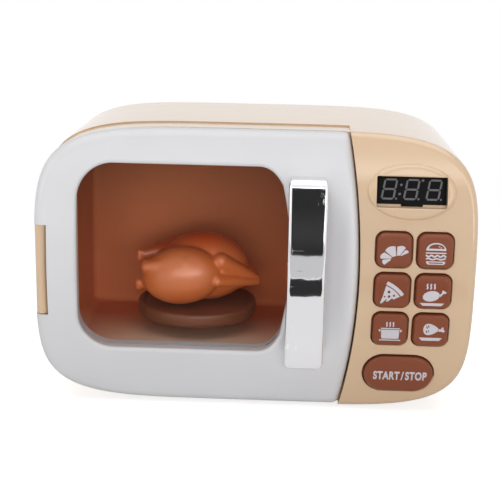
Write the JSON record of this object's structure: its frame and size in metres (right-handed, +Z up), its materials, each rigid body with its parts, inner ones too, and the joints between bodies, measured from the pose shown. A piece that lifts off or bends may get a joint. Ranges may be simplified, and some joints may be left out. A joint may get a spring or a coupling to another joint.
{
  "type": "toy microwave",
  "caption": "Toy microwave oven with a swinging windowed door, bow handle, turntable with a play roast chicken, digit display and sprung picture buttons.",
  "frame": {"origin": "under the middle of the oven, on the plane its feet stand on", "axes": "+X to the right seen from the front, +Y towards the back, +Z up; the door and the control panel face -Y"},
  "size_m": [0.25, 0.143, 0.165],
  "materials": {
    "peach_plastic": "satin",
    "white_plastic": "satin gloss",
    "cavity_plastic": "satin",
    "plate_plastic": "satin",
    "button_plastic": "satin gloss",
    "clear_pane": "clear gloss",
    "chrome_plate": "mirror",
    "steel": "zinc plated",
    "black_plastic": "gloss",
    "circuit_board": "solder mask",
    "rubber": "matt",
    "battery_sleeve": "printed sleeve, blank",
    "roast_skin": "satin, sprayed shading"
  },
  "bodies": {
    "oven_body": {"front_frame": "peach_plastic", "rear_housing": "peach_plastic", "cavity_liner": "cavity_plastic", "battery_cover": "peach_plastic", "cover_screw": "steel", "speaker": "black_plastic", "key_board": "circuit_board", "button_pad": "rubber", "display_module": "black_plastic", "display_board": "circuit_board", "turntable_motor": "black_plastic", "battery_contacts_top": "steel", "battery_contacts_bottom": "steel", "hinge_pin": "steel", "battery_1": "battery_sleeve", "battery_2": "battery_sleeve", "battery_3": "battery_sleeve", "housing_screw_1": "steel", "housing_screw_2": "steel", "housing_screw_3": "steel", "housing_screw_4": "steel", "board_screw_1": "steel", "board_screw_2": "steel", "board_screw_3": "steel", "motor_screw_1": "steel", "motor_screw_2": "steel", "display_screw_1": "steel", "display_screw_2": "steel", "foot_front_1": "rubber", "foot_front_2": "rubber", "foot_back_1": "rubber", "foot_back_2": "rubber"},
    "door": {"door_shell": "white_plastic", "door_inner_frame": "white_plastic", "window_pane": "clear_pane", "handle": "chrome_plate", "handle_screw_1": "steel", "handle_screw_2": "steel", "door_screw_1": "steel", "door_screw_2": "steel", "door_screw_3": "steel", "door_screw_4": "steel"},
    "turntable": {"turntable_plate": "plate_plastic", "drive_hub": "plate_plastic"},
    "chicken": {"roast_chicken": "roast_skin"},
    "croissant_key": {"croissant_button": "button_plastic"},
    "burger_key": {"burger_button": "button_plastic"},
    "pizza_key": {"pizza_button": "button_plastic"},
    "chicken_key": {"chicken_button": "button_plastic"},
    "pot_key": {"pot_button": "button_plastic"},
    "ham_key": {"ham_button": "button_plastic"},
    "start_stop_key": {"start_stop_button": "button_plastic"}
  },
  "joints": [
    {"name": "door_hinge", "type": "hinge", "parent": "oven_body", "child": "door", "pos_m": [-0.1207, -0.0537, 0.08325], "axis": [0, 0, -1], "range_deg": [0, 110]},
    {"name": "turntable_spin", "type": "hinge", "parent": "oven_body", "child": "turntable", "pos_m": [-0.036, 0.0015, 0.0453], "axis": [0, 0, 1], "continuous": true},
    {"name": "chicken_lift", "type": "slide", "parent": "turntable", "child": "chicken", "axis": [0, 0, 1], "range_m": [0, 0.04]},
    {"name": "croissant_press", "type": "slide", "parent": "oven_body", "child": "croissant_key", "axis": [0, 1, 0], "range_m": [0, 0.0015], "stiffness_N_per_m": 400, "springref_m": -0.001},
    {"name": "burger_press", "type": "slide", "parent": "oven_body", "child": "burger_key", "axis": [0, 1, 0], "range_m": [0, 0.0015], "stiffness_N_per_m": 400, "springref_m": -0.001},
    {"name": "pizza_press", "type": "slide", "parent": "oven_body", "child": "pizza_key", "axis": [0, 1, 0], "range_m": [0, 0.0015], "stiffness_N_per_m": 400, "springref_m": -0.001},
    {"name": "chicken_press", "type": "slide", "parent": "oven_body", "child": "chicken_key", "axis": [0, 1, 0], "range_m": [0, 0.0015], "stiffness_N_per_m": 400, "springref_m": -0.001},
    {"name": "pot_press", "type": "slide", "parent": "oven_body", "child": "pot_key", "axis": [0, 1, 0], "range_m": [0, 0.0015], "stiffness_N_per_m": 400, "springref_m": -0.001},
    {"name": "ham_press", "type": "slide", "parent": "oven_body", "child": "ham_key", "axis": [0, 1, 0], "range_m": [0, 0.0015], "stiffness_N_per_m": 400, "springref_m": -0.001},
    {"name": "start_stop_press", "type": "slide", "parent": "oven_body", "child": "start_stop_key", "axis": [0, 1, 0], "range_m": [0, 0.0015], "stiffness_N_per_m": 400, "springref_m": -0.001}
  ]
}
